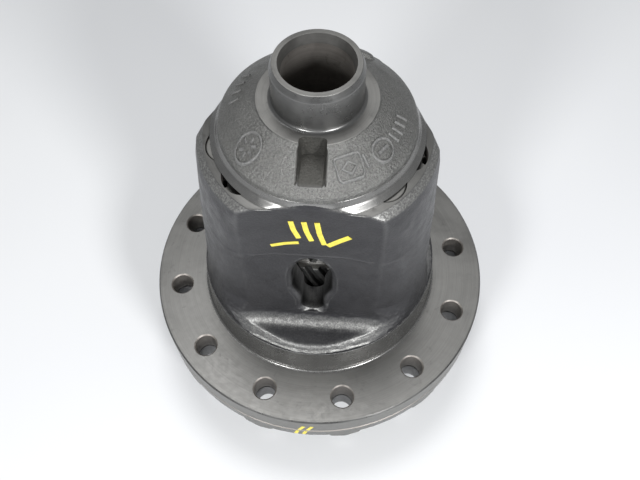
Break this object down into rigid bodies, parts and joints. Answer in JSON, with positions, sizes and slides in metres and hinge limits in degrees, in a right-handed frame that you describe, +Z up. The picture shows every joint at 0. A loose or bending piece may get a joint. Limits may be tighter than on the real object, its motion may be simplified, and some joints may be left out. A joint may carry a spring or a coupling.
{
  "type": "helical gear limited slip differential",
  "caption": "Upright differential case with flanged cover, bearing hubs at both ends, bolt flange for a ring gear, and geared planets coupling two splined side gears.",
  "frame": {"origin": "centre of the lower hub's end face, which the part stands on", "axes": "+Z up along the axle line from the cover's hub to the case's hub; -Y towards the cast face that carries the dome recess"},
  "size_m": [0.222, 0.222, 0.2642],
  "materials": {
    "case_iron": "dark as-cast faces with satin machined hub, rings and flange",
    "cover_iron": "rough as-cast underside with machined rim and hub",
    "gear_steel": "hobbed teeth, oiled",
    "planet_steel": "dark hardened teeth with ground ends",
    "washer_steel": "lapped faces",
    "spacer_steel": "turned",
    "screw_steel": "black oxide",
    "pin_steel": "ground"
  },
  "bodies": {
    "case": {"case": "case_iron", "end_cover": "cover_iron", "cover_screw_1": "screw_steel", "cover_screw_2": "screw_steel", "cover_screw_3": "screw_steel", "cover_screw_4": "screw_steel", "dowel_pin_1": "pin_steel", "dowel_pin_2": "pin_steel", "thrust_washer_upper": "washer_steel", "thrust_washer_lower": "washer_steel"},
    "upper_side_gear": {"side_gear_upper": "gear_steel"},
    "lower_side_gear": {"side_gear_lower": "gear_steel", "centre_washer_lower": "washer_steel", "centre_spacer": "spacer_steel", "centre_washer_upper": "washer_steel"},
    "planet_1a": {"planet_1a": "planet_steel"},
    "planet_1b": {"planet_1b": "planet_steel"},
    "planet_2a": {"planet_2a": "planet_steel"},
    "planet_2b": {"planet_2b": "planet_steel"},
    "planet_3a": {"planet_3a": "planet_steel"},
    "planet_3b": {"planet_3b": "planet_steel"}
  },
  "joints": [
    {"name": "upper_side_gear_spin", "type": "hinge", "parent": "case", "child": "upper_side_gear", "pos_m": [0, 0, 0.166], "axis": [0, 0, 1], "continuous": true},
    {"name": "lower_side_gear_spin", "type": "hinge", "parent": "case", "child": "lower_side_gear", "pos_m": [0, 0, 0.106], "axis": [0, 0, 1], "continuous": true},
    {"name": "planet_1a_spin", "type": "hinge", "parent": "case", "child": "planet_1a", "pos_m": [-0.04542, -0.00997, 0.135], "axis": [0, 0, 1], "continuous": true},
    {"name": "planet_1b_spin", "type": "hinge", "parent": "case", "child": "planet_1b", "pos_m": [-0.03623, -0.02915, 0.135], "axis": [0, 0, 1], "continuous": true},
    {"name": "planet_2a_spin", "type": "hinge", "parent": "case", "child": "planet_2a", "pos_m": [0.03135, -0.03435, 0.135], "axis": [0, 0, 1], "continuous": true},
    {"name": "planet_2b_spin", "type": "hinge", "parent": "case", "child": "planet_2b", "pos_m": [0.04336, -0.01681, 0.135], "axis": [0, 0, 1], "continuous": true},
    {"name": "planet_3a_spin", "type": "hinge", "parent": "case", "child": "planet_3a", "pos_m": [0.01407, 0.04432, 0.135], "axis": [0, 0, 1], "continuous": true},
    {"name": "planet_3b_spin", "type": "hinge", "parent": "case", "child": "planet_3b", "pos_m": [-0.00712, 0.04595, 0.135], "axis": [0, 0, 1], "continuous": true}
  ],
  "couplings": [
    {"joint": "lower_side_gear_spin", "follows": "upper_side_gear_spin", "ratio": -1},
    {"joint": "planet_1a_spin", "follows": "upper_side_gear_spin", "ratio": -3.375},
    {"joint": "planet_1b_spin", "follows": "upper_side_gear_spin", "ratio": 3.375},
    {"joint": "planet_2a_spin", "follows": "upper_side_gear_spin", "ratio": -3.375},
    {"joint": "planet_2b_spin", "follows": "upper_side_gear_spin", "ratio": 3.375},
    {"joint": "planet_3a_spin", "follows": "upper_side_gear_spin", "ratio": -3.375},
    {"joint": "planet_3b_spin", "follows": "upper_side_gear_spin", "ratio": 3.375}
  ]
}
